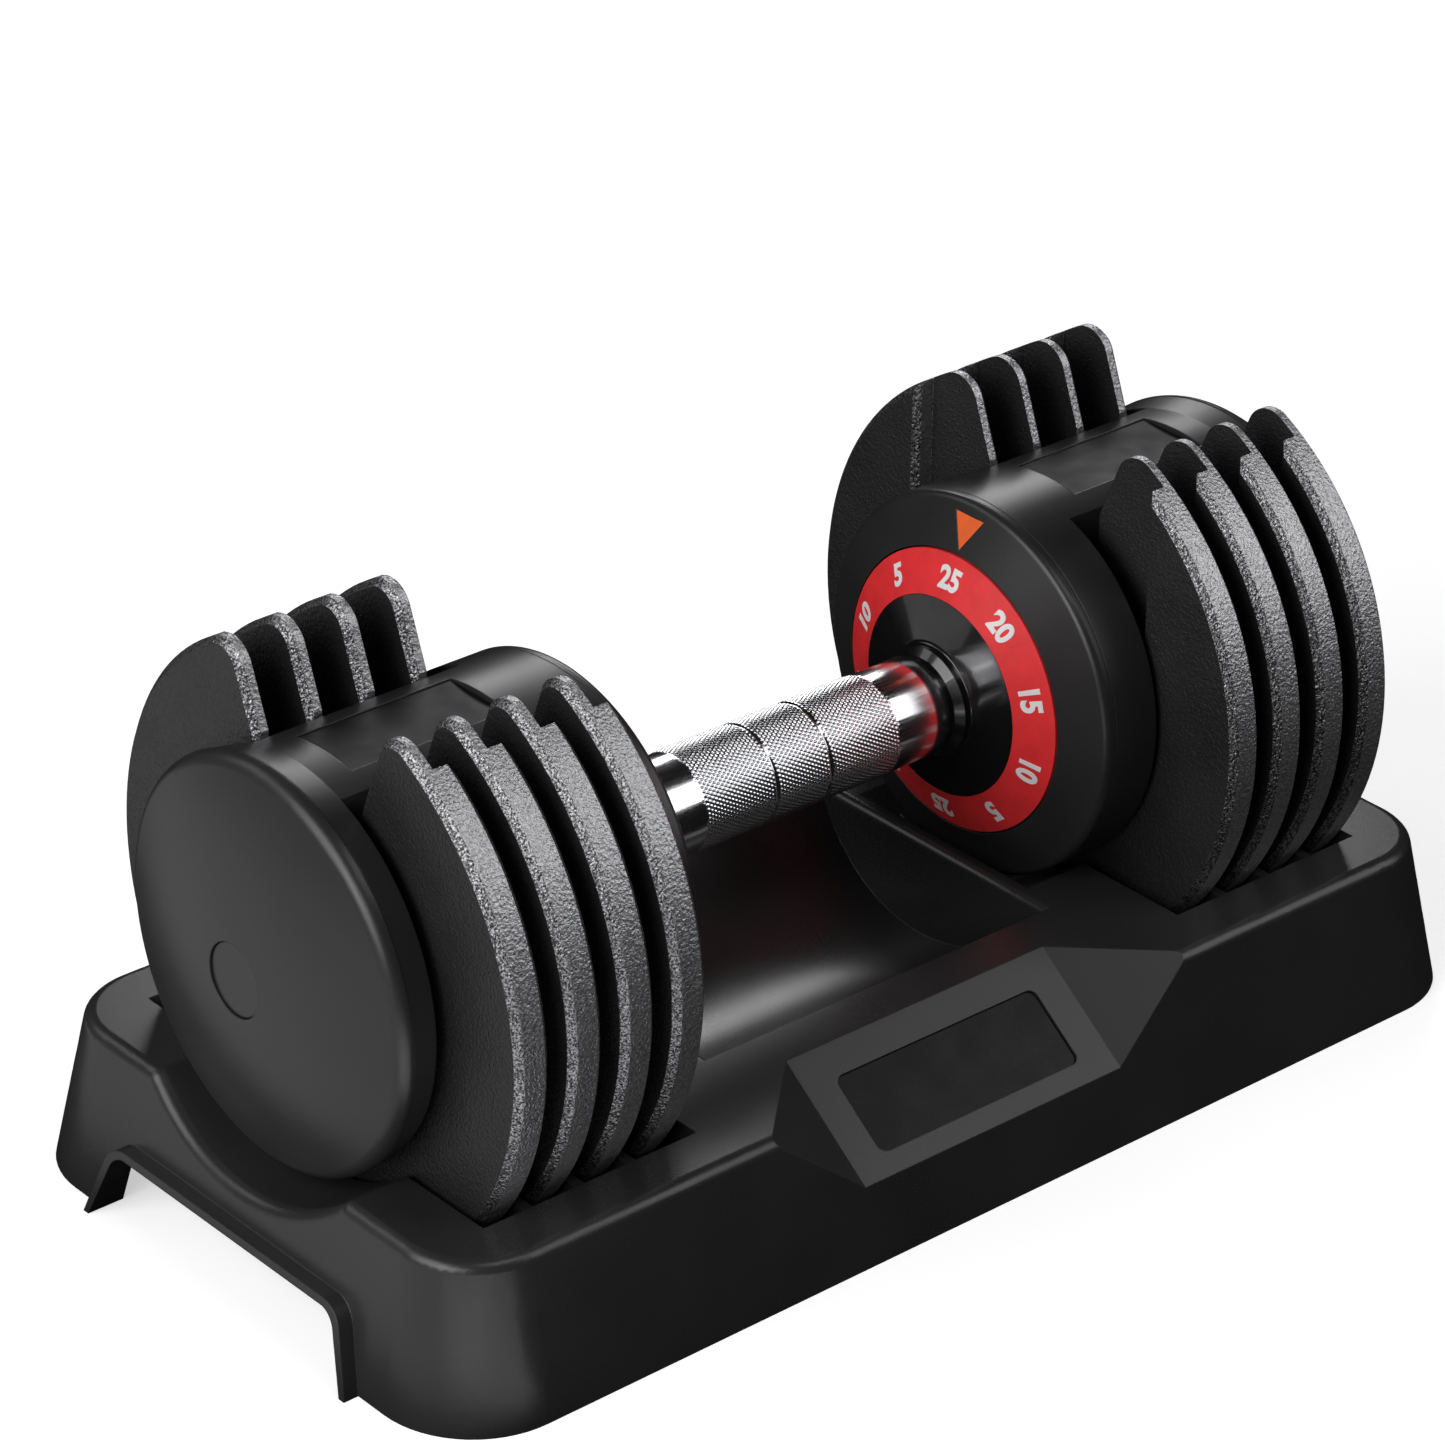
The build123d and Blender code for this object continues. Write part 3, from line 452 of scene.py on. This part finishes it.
# ---- floor, world and lights ----
floor_reach = 6.0
floor_emission = 0.55
world_ambient = 0.006        # what the object is lit by; the camera sees white
softbox_distance = 1.8
lit_height = 0.09            # the soft boxes look at this height, over the origin
glow_height = 0.001          # just over the floor

softboxes = (                # name, azimuth and elevation in degrees, width, height, watts
    ("key_right", 47, 32, 1.2, 1.1, 8),
    ("back_right", 139, 28, 0.7, 0.45, 5.5),
    ("back_left", -145, 34, 0.9, 0.6, 2.5),
    ("fill_left", -95, 30, 1.2, 1.2, 15),
    ("fill_left_front", -68, 22, 0.9, 0.9, 9),
    ("front_high", 5, 62, 1.2, 0.6, 4),
)
floor_glows = (              # name, x, y, width, depth, watts
    ("glow_left", -0.66, 0.15, 0.86, 1.2, 1.8),
    ("glow_front_left", -0.26, -0.23, 0.2, 0.2, 0.16),
)


def floor():
    m = Material("floor_white", 0.9)
    tone = m.noise(0.4, 1.0)
    m.link(m.colours(tone, (0.3, (0.90, 0.90, 0.90)), (0.7, (0.92, 0.92, 0.92))), "Base Color")
    m.set("Emission Color", (1, 1, 1, 1))
    m.set("Emission Strength", floor_emission)
    mesh = bpy.data.meshes.new("floor")
    reach = floor_reach
    corners = [(-reach, -reach, 0), (reach, -reach, 0), (reach, reach, 0), (-reach, reach, 0)]
    mesh.from_pydata(corners, [], [(0, 1, 2, 3)])
    mesh.materials.append(m.material)
    plane = bpy.data.objects.new("floor", mesh)
    plane.visible_glossy = False
    plane.visible_diffuse = False
    bpy.context.scene.collection.objects.link(plane)


def world():
    """White where the camera looks past the floor, and nearly dark as a source of light."""
    studio = bpy.data.worlds.new("studio")
    bpy.context.scene.world = studio
    studio.use_nodes = True
    tree = studio.node_tree
    background = tree.nodes["Background"]
    background.inputs["Strength"].default_value = 1.0
    path = tree.nodes.new("ShaderNodeLightPath")
    mix = tree.nodes.new("ShaderNodeMix")
    mix.data_type = "RGBA"
    mix.inputs[6].default_value = (world_ambient, world_ambient, world_ambient, 1)
    mix.inputs[7].default_value = (1, 1, 1, 1)
    tree.links.new(path.outputs["Is Camera Ray"], mix.inputs[0])
    tree.links.new(mix.outputs[2], background.inputs["Color"])


def area_light(name, width, height, power):
    light = bpy.data.lights.new(name, "AREA")
    light.shape = "RECTANGLE"
    light.size = width
    light.size_y = height
    light.energy = power
    lamp = bpy.data.objects.new(name, light)
    bpy.context.scene.collection.objects.link(lamp)
    return lamp


def softbox(name, azimuth, elevation, width, height, power):
    """Area light that looks at the middle of the dumbbell."""
    a, e = math.radians(azimuth), math.radians(elevation)
    direction = Vector((math.sin(a) * math.cos(e), -math.cos(a) * math.cos(e), math.sin(e)))
    lamp = area_light(name, width, height, power)
    lamp.location = direction * softbox_distance + Vector((0, 0, lit_height))
    lamp.rotation_mode = "QUATERNION"
    lamp.rotation_quaternion = direction.to_track_quat("Z", "Y")


def floor_glow(name, x, y, width, depth, power):
    """Light that the pale floor throws back up at the dumbbell, centred on (x, y)."""
    lamp = area_light(name, width, depth, power)
    lamp.location = (x, y, glow_height)
    lamp.rotation_euler = (math.pi, 0, 0)
    lamp.visible_camera = False


floor()
world()
for settings in softboxes:
    softbox(*settings)
for settings in floor_glows:
    floor_glow(*settings)
bpy.context.scene.view_settings.view_transform = "Standard"
